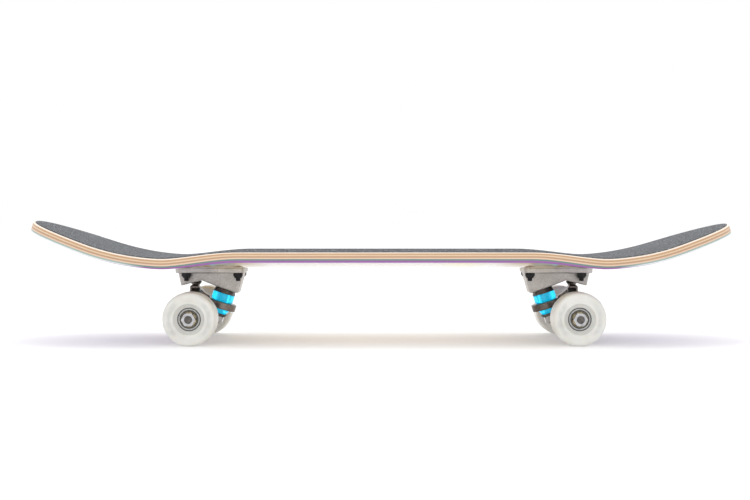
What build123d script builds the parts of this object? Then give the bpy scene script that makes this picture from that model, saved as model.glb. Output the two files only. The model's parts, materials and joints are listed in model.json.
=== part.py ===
from build123d import *
import os
from math import cos, pi, radians, sin, sqrt

# Skateboard: a short popsicle deck, two standard kingpin trucks, four wheels on ball bearings.
# Units are millimetres.  +X points to the tail, -X to the nose, +Z up.  The left side is -Y.
# The origin is on the floor under the middle of the deck.

# ---- Deck ---------------------------------------------------------------------------------
DECK_LENGTH = 736.8
DECK_WIDTH = 190.5
END_LENGTH = 114.0           # how far from each tip the outline starts to narrow
NOSE_POWER = 2.2             # the nose is a little blunter than half an ellipse
TAIL_POWER = 2.0
DECK_THICK = 10.4
GRIP_THICK = 0.9
SKIN_GAP = 0.05              # glue and paint film between stacked pieces
DECK_FLOOR = 76.75           # height of the underside along the middle, before planing
TRUCK_SHIFT = 2.5            # the nose is this much longer than the tail, halved
FLAT_HALF = 210.5            # flat length each side of the truck midpoint
KICK_RADIUS = 285.0
NOSE_ANGLE = 19.1
TAIL_ANGLE = 18.1
CONCAVE_RISE = 7.8           # edge above centre, between the trucks
CONCAVE_POWER = 4            # keeps the middle third of the width nearly flat
CONCAVE_FULL = 147.0         # full concave up to here from the truck midpoint
CONCAVE_FADE = 229.0         # flat across from here to the tips
TRUCK_SKIM = 0.1             # planed off the underside to seat the trucks
TRUCK_FLAT = (217.0, 28.0)   # half the length and half the width of that flat
SCREW_SKIM = 0.07            # planed off the upper faces, where the screw heads sink in
SCREW_FLAT = (214.5, 27.5)

# ---- Truck mounting -----------------------------------------------------------------------
TRUCK_HALF = 179.4           # truck midpoint to each hole pattern's centre
HOLE_LONG = 53.98
HOLE_WIDE = 41.28
HOLE_D = 5.5
BOLT_D = 4.8
BOLT_LENGTH = 25.4
BOLT_HEAD_D = 9.4
BOLT_HEAD_DEEP = 2.7
NUT_AF = 9.5
NUT_HEX_TALL = 3.7
NUT_TALL = 5.3
NUT_COLLAR_D = 8.6

# ---- Baseplate, in truck coordinates: x outward to the board's tip, z down from its top ---
PLATE_TOP = 76.8
PLATE_IN = 33.5
PLATE_OUT = 38.3
PLATE_WIDE = 54.6
PLATE_THICK = 5.6
PLATE_CORNER = 5.0
PLATE_DRAFT = 3
PLATE_DEEP = 30.0            # nothing of the casting reaches lower than this
BODY_HALF = 13.0
BODY_OUTLINE = [
    (36.8, -PLATE_THICK + 1),
    (33.6, -19.4),
    (24.6, -17.0),
    (16.3, -15.4),
    (12.0, -13.8),
    (-1.4, -19.2),
    (-24.0, -27.2),
    (-26.4, -26.7),
    (-32.4, -PLATE_THICK + 1),
]

# ---- Kingpin stack: distances along the kingpin from its seat on the baseplate ------------
SEAT = (-11.9, -22.9)
KINGPIN_LEAN = 18.0
KINGPIN_D = 9.525
KINGPIN_HEAD_AF = 13.6
KINGPIN_CHAMFER = 0.8
HEAD_CLEAR = 0.2
SPOT_FACE_R = 15.0           # milled flat in the casting, round the kingpin's seat
SPOT_FACE_DEEP = 9.0
COLLAR_R = 12.9
COLLAR_TALL = 8.0
HEAD_FROM = -20.0
HEAD_TO = -14.5
TOP_WASHER_FROM = 0.1
TOP_WASHER_TO = 4.8
RING_FROM = 13.8
RING_TO = 21.2
BOTTOM_WASHER_FROM = 26.4
BOTTOM_WASHER_TO = 29.5
KINGPIN_NUT_TO = 35.8
KINGPIN_END = 37.2
TOP_WASHER_R = 12.0
BOTTOM_WASHER_R = 10.0
WASHER_WALL = 1.4
WASHER_FLARE = 1.6           # how much wider the rim is than the dish's floor
BARREL_R = 11.8
CONE_R = 10.5
CONE_TIP_R = 7.9
SWING = 2.8                  # how far the stack moves sideways in the hanger at full lock
RING_R = 16.6
RING_HOLE_R = 7.2
KINGPIN_NUT_AF = 14.3

# ---- Steering: the ball nose of the hanger and its cup ------------------------------------
PIVOT = (24.9, -12.4)
BALL_R = 4.6
CUP_R = 6.3
CUP_RUN = 0.06               # running clearance between nose and cup
CUP_END = 6.2                # from the ball's centre to the end of the cup
CUP_MOUTH = 1.0
CUP_BACK = 1.5               # metal behind and around the cup
STEM_R = 5.5
STEM_FROM = 11.0             # distances from the ball's centre back along the stem
NECK_FROM = 5.0

# ---- Hanger and axle ----------------------------------------------------------------------
AXLE = (15.6, -49.8)
AXLE_D = 7.94
AXLE_LENGTH = 193.0
HANGER_WIDE = 127.0
HANGER_END_R = 8.3
HANGER_MID_R = 8.8
HANGER_MID_HALF = 24.0
HANGER_CHAMFER = 0.7
WEB_FROM = 13.6              # the braces' inner face, in truck coordinates
WEB_THICK = 9.5
WEB_REACH = 51.5
WEB_TOP = 27.0               # above the axle
WEB_TOP_HALF = 13.0
NECK_HALF = 7.5
AXLE_CHAMFER = 0.8
AXLE_NUT_AF = 12.7
AXLE_NUT_TALL = 6.5
WASHER_THICK = 0.9

# ---- Wheel and its two ball bearings ------------------------------------------------------
WHEEL_R = 27.0
WHEEL_WIDE = 32.0
TREAD_HALF = 9.2
FACE_R = 22.6
RECESS_R = 15.5
RECESS_END_R = 11.7
CORE_R = 9.6
BEARING_R = 11.0
BEARING_BORE_R = 4.0
BEARING_WIDE = 7.0
SPACER_LENGTH = 10.0
SPACER_R = 5.6
OUTER_RACE_IN_R = 9.0
INNER_RACE_OUT_R = 6.0
BALL_COUNT = 7
BALL_PITCH_R = 7.5
BALL_SIZE_R = 1.98
GROOVE_R = 2.02
CAGE_IN_R = 6.7
CAGE_OUT_R = 8.3
CAGE_BACK = 2.7
CAGE_LIP = 0.9
RECESS_CHAMFER = 0.4
POCKET_R = 2.05
SHIELD_IN_R = 6.25
SHIELD_THICK = 0.3
SHIELD_INSET = 0.2

AXLE_CLEAR = 0.04            # radial gap of everything threaded over the axle or a bolt

TRUCKS = {"front": -1, "rear": 1}
SIDES = {"left": -1, "right": 1}

UP = Vector(0, 0, 1)
KINGPIN_DIR = Vector(sin(radians(KINGPIN_LEAN)), 0, -cos(radians(KINGPIN_LEAN)))
SEAT_POINT = Vector(SEAT[0], 0, SEAT[1])
PIVOT_POINT = Vector(PIVOT[0], 0, PIVOT[1])
RING_POINT = SEAT_POINT + KINGPIN_DIR * ((RING_FROM + RING_TO) / 2)
STEER_DIR = (PIVOT_POINT - RING_POINT).normalized()
AXLE_POINT = Vector(AXLE[0], 0, AXLE[1])


# ---- Small helpers ------------------------------------------------------------------------
def rod(start, direction, length, radius, end_radius=None):
    """A round rod, or a cone when an end radius is given, from start along direction."""
    place = Plane(origin=start, z_dir=direction)
    align = (Align.CENTER, Align.CENTER, Align.MIN)
    if end_radius is None or abs(end_radius - radius) < 1e-6:
        return place * Cylinder(radius, length, align=align)
    return place * Cone(radius, end_radius, length, align=align)


def hex_rod(start, direction, length, across_flats):
    """A hexagonal bar from start along direction."""
    across = Vector(1, 0, 0) if abs(direction.Y) > 0.9 else Vector(0, 1, 0)
    place = Plane(origin=start, x_dir=across, z_dir=direction)
    return place * extrude(RegularPolygon(across_flats / sqrt(3), 6), length)


def nut(start, direction, length, across_flats, bore_r):
    """A hexagonal nut whose corners are rounded off at both ends."""
    corner = across_flats / sqrt(3)
    body = hex_rod(start, direction, length, across_flats)
    chamfer = corner - across_flats / 2
    narrow = corner - chamfer * 0.8
    wide = corner + chamfer * 0.2
    barrel = rod(start, direction, chamfer, narrow, wide)
    barrel += rod(start + direction * chamfer, direction, length - 2 * chamfer, corner + 1)
    barrel += rod(start + direction * (length - chamfer), direction, chamfer, wide, narrow)
    return (body & barrel) - rod(start - direction, direction, length + 2, bore_r)


def side_profile(points, half_width):
    """A plate of the given outline in the XZ plane, centred on Y = 0."""
    face = Plane.XZ * make_face(Polyline(*points, close=True))
    return extrude(face, amount=half_width, both=True)


def cross_profile(points, start_x, thickness):
    """A plate of the given outline in the YZ plane, from start_x towards +X."""
    plane = Plane(origin=(start_x, 0, 0), x_dir=(0, 1, 0), z_dir=(1, 0, 0))
    return extrude(plane * make_face(Polyline(*points, close=True)), thickness)


def kingpin_at(distance):
    """The point at this distance down the kingpin from its seat."""
    return SEAT_POINT + KINGPIN_DIR * distance


def on_truck(shape, sign):
    """Moves a part from truck coordinates to its place under the board."""
    centre = Vector(TRUCK_SHIFT + sign * TRUCK_HALF, 0, PLATE_TOP)
    turn = 0 if sign > 0 else 180
    return Location(centre) * Rotation(0, 0, turn) * shape


def hole_places():
    """The four screw positions of one truck."""
    for x in (-HOLE_LONG / 2, HOLE_LONG / 2):
        for y in (-HOLE_WIDE / 2, HOLE_WIDE / 2):
            yield Vector(x, y, 0)


def all_screw_places():
    """The eight screw positions under the deck."""
    for sign in TRUCKS.values():
        for place in hole_places():
            yield place + Vector(TRUCK_SHIFT + sign * TRUCK_HALF, 0, 0)


# ---- Deck shape ---------------------------------------------------------------------------
def kick_height(distance, angle_degrees):
    """Height of the upturned end at this distance past the flat: an arc, then straight."""
    angle = radians(angle_degrees)
    past = max(distance, 0)
    arc = KICK_RADIUS * sin(angle)
    if past <= arc:
        return KICK_RADIUS - sqrt(KICK_RADIUS ** 2 - past ** 2)
    return KICK_RADIUS * (1 - cos(angle)) + (past - arc) * sin(angle) / cos(angle)


def concave_rise(distance):
    """Edge height above the centre line at this distance from the truck midpoint."""
    share = (CONCAVE_FADE - distance) / (CONCAVE_FADE - CONCAVE_FULL)
    share = min(max(share, 0), 1)
    return CONCAVE_RISE * share * share * (3 - 2 * share)


def deck_height(x, y):
    """Height of the deck's underside."""
    distance = abs(x - TRUCK_SHIFT)
    angle = NOSE_ANGLE if x < TRUCK_SHIFT else TAIL_ANGLE
    edge = concave_rise(distance) * (abs(y) / (DECK_WIDTH / 2)) ** CONCAVE_POWER
    return DECK_FLOOR + kick_height(distance - FLAT_HALF, angle) + edge


def deck_point(x, y, offset):
    """A point this far above the underside, measured square to it."""
    step = 0.5
    slope_x = (deck_height(x + step, y) - deck_height(x - step, y)) / (2 * step)
    slope_y = (deck_height(x, y + step) - deck_height(x, y - step)) / (2 * step)
    normal = Vector(-slope_x, -slope_y, 1).normalized()
    return Vector(x, y, deck_height(x, y)) + normal * offset


def deck_sheet(offset):
    """The deck's double-curved surface as one face, a little larger than the deck."""
    margin = 12
    columns = 45
    rows = 17
    length = DECK_LENGTH + 2 * margin
    width = DECK_WIDTH + 2 * margin
    grid = []
    for i in range(columns):
        x = -length / 2 + length * i / (columns - 1)
        line = [deck_point(x, -width / 2 + width * j / (rows - 1), offset) for j in range(rows)]
        grid.append(line)
    return Face.make_surface_from_array_of_points(grid, tol=0.02, min_deg=3, max_deg=3)


def space_above(sheet, lift):
    """Everything above a sheet that has been lifted by this much."""
    return extrude(Location((0, 0, lift)) * sheet, DECK_LENGTH / 4, dir=UP)


def screw_holes():
    """Clearance holes with countersinks for all eight screws, one tool for each."""
    top = DECK_FLOOR + DECK_THICK + SKIN_GAP + GRIP_THICK - SCREW_SKIM
    sink_deep = BOLT_HEAD_DEEP + 0.2
    for place in all_screw_places():
        hole = rod(place + UP * (DECK_FLOOR - 5), UP, 30, HOLE_D / 2)
        sink_start = place + UP * (top - sink_deep)
        yield hole + rod(sink_start, UP, sink_deep + 0.5, HOLE_D / 2, BOLT_HEAD_D / 2 + 0.6)


def planing_cut(height, flat, align_z):
    """A block that planes the middle of a layer flat at this height."""
    half_length, half_width = flat
    block = Box(2 * half_length, 2 * half_width, 4, align=(Align.CENTER, Align.CENTER, align_z))
    return Location((TRUCK_SHIFT, 0, height)) * block


def end_curve(way, power):
    """One rounded end of the outline, from one straight side to the other."""
    half_width = DECK_WIDTH / 2
    steps = 12
    points = []
    for i in range(steps + 1):
        turn = pi * i / steps - pi / 2
        along = max(cos(turn), 0) ** (2 / power)
        across = abs(sin(turn)) ** (2 / power)
        x = DECK_LENGTH / 2 - END_LENGTH * (1 - along)
        y = half_width * across * (1 if turn > 0 else -1)
        points.append((way * x, y))
    return Spline(*points, tangents=[(way, 0), (-way, 0)])


def trimmed(lower_space, upper_space):
    """What lies between two surfaces, inside the deck's outline."""
    nose = end_curve(-1, NOSE_POWER)
    tail = end_curve(1, TAIL_POWER)
    left = Line(nose @ 0, tail @ 0)
    right = Line(nose @ 1, tail @ 1)
    outline = extrude(make_face([nose, left, tail, right]), DECK_LENGTH / 4)
    return (outline & lower_space) - upper_space


def drilled(layer):
    """A layer with its screw holes."""
    for hole in screw_holes():
        layer -= hole
    return layer


def make_deck():
    """The laminated wooden deck."""
    layer = trimmed(space_above(deck_sheet(0), 0), space_above(deck_sheet(DECK_THICK), 0))
    layer -= planing_cut(DECK_FLOOR + TRUCK_SKIM, TRUCK_FLAT, Align.MAX)
    layer -= planing_cut(DECK_FLOOR + DECK_THICK - SCREW_SKIM, SCREW_FLAT, Align.MIN)
    return drilled(layer)


def make_grip_tape():
    """The sandpaper sheet glued on top, with a true flat along its middle."""
    sheet = deck_sheet(DECK_THICK)
    layer = trimmed(space_above(sheet, SKIN_GAP), space_above(sheet, SKIN_GAP + GRIP_THICK))
    bottom = DECK_FLOOR + DECK_THICK + SKIN_GAP
    layer -= planing_cut(bottom + SCREW_SKIM, SCREW_FLAT, Align.MAX)
    layer -= planing_cut(bottom + GRIP_THICK - SCREW_SKIM, SCREW_FLAT, Align.MIN)
    return drilled(layer)


# ---- Truck screws -------------------------------------------------------------------------
def truck_screw(place):
    """A countersunk screw with a cross recess, from the grip down through the baseplate."""
    top = DECK_FLOOR + DECK_THICK + SKIN_GAP + GRIP_THICK - SCREW_SKIM
    head_top = place + UP * top
    radius = BOLT_D / 2
    chamfer = 0.5
    head = rod(head_top, -UP, BOLT_HEAD_DEEP, BOLT_HEAD_D / 2, radius)
    shank_length = BOLT_LENGTH - BOLT_HEAD_DEEP - chamfer
    shank = rod(head_top - UP * BOLT_HEAD_DEEP, -UP, shank_length, radius)
    point = rod(head_top - UP * (BOLT_LENGTH - chamfer), -UP, chamfer, radius, radius - chamfer)
    slot = Box(5.2, 1.1, 3.2) + Box(1.1, 5.2, 3.2)
    return (head + shank + point) - Location(head_top) * slot


def lock_nut(place):
    """A hexagonal nut with a round locking collar, tight against the baseplate flange."""
    seat = place + UP * (PLATE_TOP - PLATE_THICK)
    bore = BOLT_D / 2 + AXLE_CLEAR
    hexagon = nut(seat, -UP, NUT_HEX_TALL, NUT_AF, bore)
    collar_r = NUT_COLLAR_D / 2
    collar = rod(seat - UP * NUT_HEX_TALL, -UP, NUT_TALL - NUT_HEX_TALL, collar_r, collar_r - 0.5)
    return hexagon + (collar - rod(seat, -UP, NUT_TALL + 1, bore))


# ---- Truck, all in truck coordinates ------------------------------------------------------
def cup_housing():
    """The boss around the pivot cup, kept inside the casting's envelope."""
    start = PIVOT_POINT - STEER_DIR * CUP_MOUTH
    boss = rod(start, STEER_DIR, CUP_MOUTH + CUP_END + CUP_BACK, CUP_R + CUP_BACK)
    envelope = Box(2 * PLATE_IN, PLATE_WIDE, PLATE_DEEP, align=(Align.CENTER, Align.CENTER, Align.MAX))
    return boss & (Location((0, 0, -0.05)) * envelope)


def cup_bore():
    """The bore that the pivot cup is pressed into."""
    run_in = 10
    start = PIVOT_POINT - STEER_DIR * (CUP_MOUTH + run_in)
    return rod(start, STEER_DIR, run_in + CUP_MOUTH + CUP_END, CUP_R)


def kingpin_room():
    """What the kingpin needs: its bore, the room for its head, and a flat seat below."""
    room = rod(kingpin_at(0), KINGPIN_DIR, SPOT_FACE_DEEP, SPOT_FACE_R)
    room += rod(kingpin_at(-30), KINGPIN_DIR, 40, KINGPIN_D / 2 + AXLE_CLEAR)
    above = 12
    head_r = KINGPIN_HEAD_AF / sqrt(3) + HEAD_CLEAR
    head = rod(kingpin_at(HEAD_FROM - above), KINGPIN_DIR, HEAD_TO - HEAD_FROM + above, head_r)
    return room + head


def make_baseplate():
    """The cast plate: flange, solid body, kingpin seat and pivot housing."""
    outline = RectangleRounded(PLATE_IN + PLATE_OUT, PLATE_WIDE, PLATE_CORNER)
    middle = Location(((PLATE_OUT - PLATE_IN) / 2, 0, 0))
    flange = middle * extrude(outline, -PLATE_THICK, taper=PLATE_DRAFT)
    body = side_profile(BODY_OUTLINE, BODY_HALF)
    body = fillet(body.edges().filter_by(Axis.Y).group_by(Axis.Z)[0], 1.2)
    collar = rod(kingpin_at(-COLLAR_TALL), KINGPIN_DIR, COLLAR_TALL, COLLAR_R)
    plate = flange + body + collar + cup_housing()
    plate -= kingpin_room()
    plate -= cup_bore()
    for place in hole_places():
        plate -= rod(place + UP, -UP, PLATE_THICK + 2, HOLE_D / 2)
    return plate


def make_pivot_cup():
    """The plastic cup that the hanger's ball nose turns in."""
    start = PIVOT_POINT - STEER_DIR * CUP_MOUTH
    inner = BALL_R + CUP_RUN
    cup = rod(start, STEER_DIR, CUP_MOUTH + CUP_END, CUP_R)
    cup -= rod(start - STEER_DIR, STEER_DIR, CUP_MOUTH + 1, inner)
    return cup - Location(PIVOT_POINT) * Sphere(inner)


def make_kingpin():
    """The bolt that holds the truck together."""
    radius = KINGPIN_D / 2
    tip = KINGPIN_END - KINGPIN_CHAMFER
    pin = rod(kingpin_at(HEAD_TO), KINGPIN_DIR, tip - HEAD_TO, radius)
    pin += rod(kingpin_at(tip), KINGPIN_DIR, KINGPIN_CHAMFER, radius, radius - KINGPIN_CHAMFER)
    return pin + hex_rod(kingpin_at(HEAD_FROM), KINGPIN_DIR, HEAD_TO - HEAD_FROM, KINGPIN_HEAD_AF)


def make_kingpin_nut():
    """The lock nut under the kingpin stack."""
    start = kingpin_at(BOTTOM_WASHER_TO)
    tall = KINGPIN_NUT_TO - BOTTOM_WASHER_TO
    return nut(start, KINGPIN_DIR, tall, KINGPIN_NUT_AF, KINGPIN_D / 2 + AXLE_CLEAR)


def cup_washer(flat_at, rim_at, radius):
    """A dished washer whose rim stands up around the end of a bushing."""
    way = 1 if rim_at > flat_at else -1
    direction = KINGPIN_DIR * way
    tall = abs(rim_at - flat_at)
    dish = rod(kingpin_at(flat_at), direction, tall, radius - WASHER_FLARE, radius)
    hollow_start = kingpin_at(flat_at + way * WASHER_WALL)
    hollow = rod(hollow_start, direction, tall, radius - WASHER_FLARE - 0.9, radius - 0.6)
    bore = rod(kingpin_at(flat_at - way), direction, tall + 2, KINGPIN_D / 2 + AXLE_CLEAR)
    return dish - hollow - bore


def bushing(start, points, end):
    """A urethane bushing of revolution round the kingpin, given radius against distance."""
    bore = KINGPIN_D / 2 + 0.1
    outline = [(bore, start)] + points + [(bore, end)]
    face = Plane.XZ * make_face(Polyline(*outline, close=True))
    solid = revolve(face, Axis.Z)
    return Plane(origin=SEAT_POINT, z_dir=KINGPIN_DIR) * solid


def make_top_bushing():
    """The barrel bushing between baseplate and hanger."""
    start = TOP_WASHER_FROM + WASHER_WALL + 0.05
    end = RING_FROM - 0.05
    inner = TOP_WASHER_R - 2.6
    points = [
        (inner, start),
        (inner + 0.9, TOP_WASHER_TO - 0.4),
        (BARREL_R - 0.3, TOP_WASHER_TO + 0.9),
        (BARREL_R, (TOP_WASHER_TO + RING_FROM) / 2),
        (BARREL_R - 0.5, end - 0.9),
        (BARREL_R - 1.4, end),
    ]
    return bushing(start, points, end)


def make_bottom_bushing():
    """The cone bushing between hanger and bottom washer."""
    start = RING_TO + 0.05
    end = BOTTOM_WASHER_TO - WASHER_WALL - 0.05
    points = [
        (CONE_R - 1.0, start),
        (CONE_R, start + 1.0),
        (CONE_TIP_R, BOTTOM_WASHER_FROM + 0.1),
        (BOTTOM_WASHER_R - 2.7, end),
    ]
    return bushing(start, points, end)


def hanger_bar():
    """The axle housing: a barrel that tapers to both wheels."""
    half = HANGER_WIDE / 2
    points = [
        (0, -half),
        (HANGER_END_R - HANGER_CHAMFER, -half),
        (HANGER_END_R, -half + HANGER_CHAMFER),
        (HANGER_END_R, -half + 8),
        (HANGER_MID_R, -HANGER_MID_HALF),
        (HANGER_MID_R, HANGER_MID_HALF),
        (HANGER_END_R, half - 8),
        (HANGER_END_R, half - HANGER_CHAMFER),
        (HANGER_END_R - HANGER_CHAMFER, half),
        (0, half),
    ]
    bar = revolve(make_face(Polyline(*points, close=True)), Axis.Y)
    return Location(AXLE_POINT) * bar


def hanger_wings():
    """The two webs that brace the axle housing from the pivot stem."""
    low = AXLE_POINT.Z
    shoulder = low + HANGER_END_R - 1.5
    outline = [
        (-WEB_REACH, low),
        (-WEB_REACH, shoulder),
        (-WEB_TOP_HALF, low + WEB_TOP),
        (WEB_TOP_HALF, low + WEB_TOP),
        (WEB_REACH, shoulder),
        (WEB_REACH, low),
    ]
    web = cross_profile(outline, WEB_FROM, WEB_THICK)
    for side in SIDES.values():
        opening = [(side * 34, low + 11), (side * 17, low + 11), (side * 17, low + 19)]
        web -= cross_profile(opening, WEB_FROM - 2, WEB_THICK + 4)
    return web


def swing_slot(start, end, radius):
    """The room that the kingpin stack sweeps through as the hanger turns."""
    place = Plane(origin=kingpin_at(start), x_dir=Vector(0, 1, 0), z_dir=KINGPIN_DIR)
    return place * extrude(SlotCenterToCenter(2 * SWING, 2 * radius), end - start)


def hanger_neck():
    """The rib that joins the ring, the axle housing and the pivot stem."""
    x, z = AXLE
    outline = [
        (RING_POINT.X + 1, RING_POINT.Z + 5.0),
        (8.2, -28.2),
        (13.4, -23.6),
        (16.6, -19.4),
        (25.0, -19.4),
        (25.4, -26.0),
        (x + 8, z + 4),
        (x + 1, z - 8.2),
        (x - 8, z - 3),
        (RING_POINT.X + 6, RING_POINT.Z - 5),
    ]
    neck = side_profile(outline, NECK_HALF)
    return fillet(neck.edges().filter_by(Axis.Y), 1.0)


def pivot_stem():
    """The ball nose that turns in the pivot cup, and the stem behind it."""
    neck_r = BALL_R - 1
    stem = rod(PIVOT_POINT - STEER_DIR * STEM_FROM, STEER_DIR, 6.2, STEM_R, neck_r)
    stem += rod(PIVOT_POINT - STEER_DIR * NECK_FROM, STEER_DIR, NECK_FROM, neck_r)
    return stem + Location(PIVOT_POINT) * Sphere(BALL_R)


def make_hanger():
    """The cast hanger: axle housing, wings, kingpin ring and pivot stem."""
    hanger = hanger_bar() + hanger_wings() + hanger_neck()
    hanger -= swing_slot(-12, RING_FROM, BARREL_R + 1.6)
    hanger -= swing_slot(RING_TO, BOTTOM_WASHER_TO + 1, BOTTOM_WASHER_R + 0.8)
    hanger -= swing_slot(RING_TO, KINGPIN_END + 3, KINGPIN_NUT_AF / sqrt(3) + 0.6)
    ring_thick = RING_TO - RING_FROM
    hanger += rod(kingpin_at(RING_FROM), KINGPIN_DIR, ring_thick, RING_R)
    hanger += pivot_stem()
    hanger -= rod(kingpin_at(RING_FROM - 10), KINGPIN_DIR, 20 + ring_thick, RING_HOLE_R)
    bore_start = AXLE_POINT - Vector(0, HANGER_WIDE, 0)
    hanger -= rod(bore_start, Vector(0, 1, 0), 2 * HANGER_WIDE, AXLE_D / 2 + AXLE_CLEAR)
    return hanger


def make_axle():
    """The steel axle with chamfered, threaded ends."""
    half = AXLE_LENGTH / 2
    radius = AXLE_D / 2
    points = [(0, -half), (radius - AXLE_CHAMFER, -half), (radius, -half + AXLE_CHAMFER)]
    points += [(radius, half - AXLE_CHAMFER), (radius - AXLE_CHAMFER, half), (0, half)]
    return Location(AXLE_POINT) * revolve(make_face(Polyline(*points, close=True)), Axis.Y)


# ---- Wheel, on the Y axis with its middle at the origin -----------------------------------
def ring_of(points):
    """A ring of revolution about Y from (radius, y) points."""
    return revolve(make_face(Polyline(*points, close=True)), Axis.Y)


def tube_y(start, length, inner, outer):
    """A plain tube along Y."""
    return ring_of([(inner, start), (outer, start), (outer, start + length), (inner, start + length)])


def make_wheel():
    """The cast urethane wheel, with a rounded tread and a seat for a bearing on each side."""
    half = WHEEL_WIDE / 2
    shelf = SPACER_LENGTH / 2
    seat = shelf + BEARING_WIDE
    right = Polyline(
        (CORE_R, 0),
        (CORE_R, shelf),
        (BEARING_R, shelf),
        (BEARING_R, seat),
        (RECESS_END_R, seat),
        (RECESS_R, half - RECESS_CHAMFER),
        (RECESS_R + 2 * RECESS_CHAMFER, half),
        (FACE_R, half),
    )
    shoulder = Bezier((FACE_R, half), (WHEEL_R, half), (WHEEL_R, TREAD_HALF))
    tread = Polyline((WHEEL_R, TREAD_HALF), (WHEEL_R, 0), (CORE_R, 0))
    side = revolve(make_face(right + shoulder + tread), Axis.Y)
    return side + mirror(side, Plane.XZ)


def both_bearings(shape):
    """Two copies of a bearing part, one on each side of the spacer."""
    reach = (SPACER_LENGTH + BEARING_WIDE) / 2
    return [Location((0, reach, 0)) * shape, Location((0, -reach, 0)) * Rotation(0, 0, 180) * shape]


def groove():
    """The ring that the ball tracks are ground to."""
    return Rotation(90, 0, 0) * Torus(BALL_PITCH_R, GROOVE_R)


def ball_row(radius):
    """One bearing's balls, or their pockets."""
    balls = []
    for i in range(BALL_COUNT):
        angle = 2 * pi * i / BALL_COUNT
        place = Location((BALL_PITCH_R * cos(angle), 0, BALL_PITCH_R * sin(angle)))
        balls.append(place * Sphere(radius))
    return balls


def make_outer_races():
    """The outer rings, which turn with the wheel."""
    half = BEARING_WIDE / 2
    return both_bearings(tube_y(-half, BEARING_WIDE, OUTER_RACE_IN_R, BEARING_R) - groove())


def make_inner_races():
    """The inner rings, which are clamped on the axle."""
    half = BEARING_WIDE / 2
    return both_bearings(tube_y(-half, BEARING_WIDE, BEARING_BORE_R, INNER_RACE_OUT_R) - groove())


def make_balls():
    """Seven balls in each bearing."""
    balls = []
    for ball in ball_row(BALL_SIZE_R):
        balls += both_bearings(ball)
    return balls


def make_cages():
    """The crown cages that keep the balls apart."""
    crown = tube_y(-CAGE_BACK, CAGE_BACK + CAGE_LIP, CAGE_IN_R, CAGE_OUT_R)
    return both_bearings(crown - ball_row(POCKET_R))


def make_shields():
    """The thin steel shields at both faces of each bearing."""
    shields = []
    near = BEARING_WIDE / 2 - SHIELD_INSET
    for start in (-near, near - SHIELD_THICK):
        shields += both_bearings(tube_y(start, SHIELD_THICK, SHIELD_IN_R, OUTER_RACE_IN_R))
    return shields


def make_spacer():
    """The tube that holds the two inner rings apart."""
    return tube_y(-SPACER_LENGTH / 2, SPACER_LENGTH, BEARING_BORE_R + AXLE_CLEAR, SPACER_R)


WHEEL_PARTS = {
    "wheel": lambda: [make_wheel()],
    "outer_races": make_outer_races,
    "inner_races": make_inner_races,
    "balls": make_balls,
    "cages": make_cages,
    "shields": make_shields,
    "spacer": lambda: [make_spacer()],
}

TRUCK_PARTS = {
    "baseplate": make_baseplate,
    "pivot_cup": make_pivot_cup,
    "kingpin": make_kingpin,
    "kingpin_nut": make_kingpin_nut,
    "top_washer": lambda: cup_washer(TOP_WASHER_FROM, TOP_WASHER_TO, TOP_WASHER_R),
    "bottom_washer": lambda: cup_washer(BOTTOM_WASHER_TO, BOTTOM_WASHER_FROM, BOTTOM_WASHER_R),
    "top_bushing": make_top_bushing,
    "bottom_bushing": make_bottom_bushing,
    "hanger": make_hanger,
    "axle": make_axle,
}


def wheel_middle():
    """How far each wheel's middle is from the board's centre line."""
    return HANGER_WIDE / 2 + WASHER_THICK + BEARING_WIDE + SPACER_LENGTH / 2


def make_speed_washers():
    """The thin washers on both faces of each wheel's bearings."""
    inner = HANGER_WIDE / 2
    outer = wheel_middle() + SPACER_LENGTH / 2 + BEARING_WIDE
    washers = []
    for start in (inner, outer, -inner - WASHER_THICK, -outer - WASHER_THICK):
        washer = tube_y(start, WASHER_THICK, AXLE_D / 2 + AXLE_CLEAR, SPACER_R)
        washers.append(Location(AXLE_POINT) * washer)
    return washers


def make_axle_nuts():
    """The lock nuts that keep the wheels on."""
    start = wheel_middle() + SPACER_LENGTH / 2 + BEARING_WIDE + WASHER_THICK
    nuts = []
    bore = AXLE_D / 2 + AXLE_CLEAR
    for side in SIDES.values():
        seat = AXLE_POINT + Vector(0, side * start, 0)
        nuts.append(nut(seat, Vector(0, side, 0), AXLE_NUT_TALL, AXLE_NUT_AF, bore))
    return nuts


# ---- Writing the nodes --------------------------------------------------------------------
def write(name, solids):
    """Writes one named node as a group of its solids."""
    flat = []
    for solid in solids:
        flat += solid.solids()
    shape = flat[0] if len(flat) == 1 else Compound(children=flat)
    shape.label = name
    export_step(shape, os.path.join("parts", name + ".step"))


def write_trucks():
    """Both trucks; the front one is the rear one turned half a turn about Z."""
    made = {name: [make()] for name, make in TRUCK_PARTS.items()}
    made["speed_washers"] = make_speed_washers()
    made["axle_nuts"] = make_axle_nuts()
    for truck, sign in TRUCKS.items():
        for name, solids in made.items():
            write(truck + "_" + name, [on_truck(solid, sign) for solid in solids])


def write_wheels():
    """Four wheels with the same parts."""
    made = {name: make() for name, make in WHEEL_PARTS.items()}
    for truck, sign in TRUCKS.items():
        for side, way in SIDES.items():
            centre_x = TRUCK_SHIFT + sign * (TRUCK_HALF + AXLE[0])
            centre = Location((centre_x, way * wheel_middle(), PLATE_TOP + AXLE[1]))
            turn = Rotation(0, 0, 0 if way > 0 else 180)
            for name, solids in made.items():
                write(f"{truck}_{side}_{name}", [centre * turn * solid for solid in solids])


os.makedirs("parts", exist_ok=True)
write("deck", [make_deck()])
write("grip_tape", [make_grip_tape()])
write("truck_screws", [truck_screw(place) for place in all_screw_places()])
write("truck_lock_nuts", [lock_nut(place) for place in all_screw_places()])
write_trucks()
write_wheels()
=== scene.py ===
import json
import math

import bmesh
import bpy
from mathutils import Matrix, Vector


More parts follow.
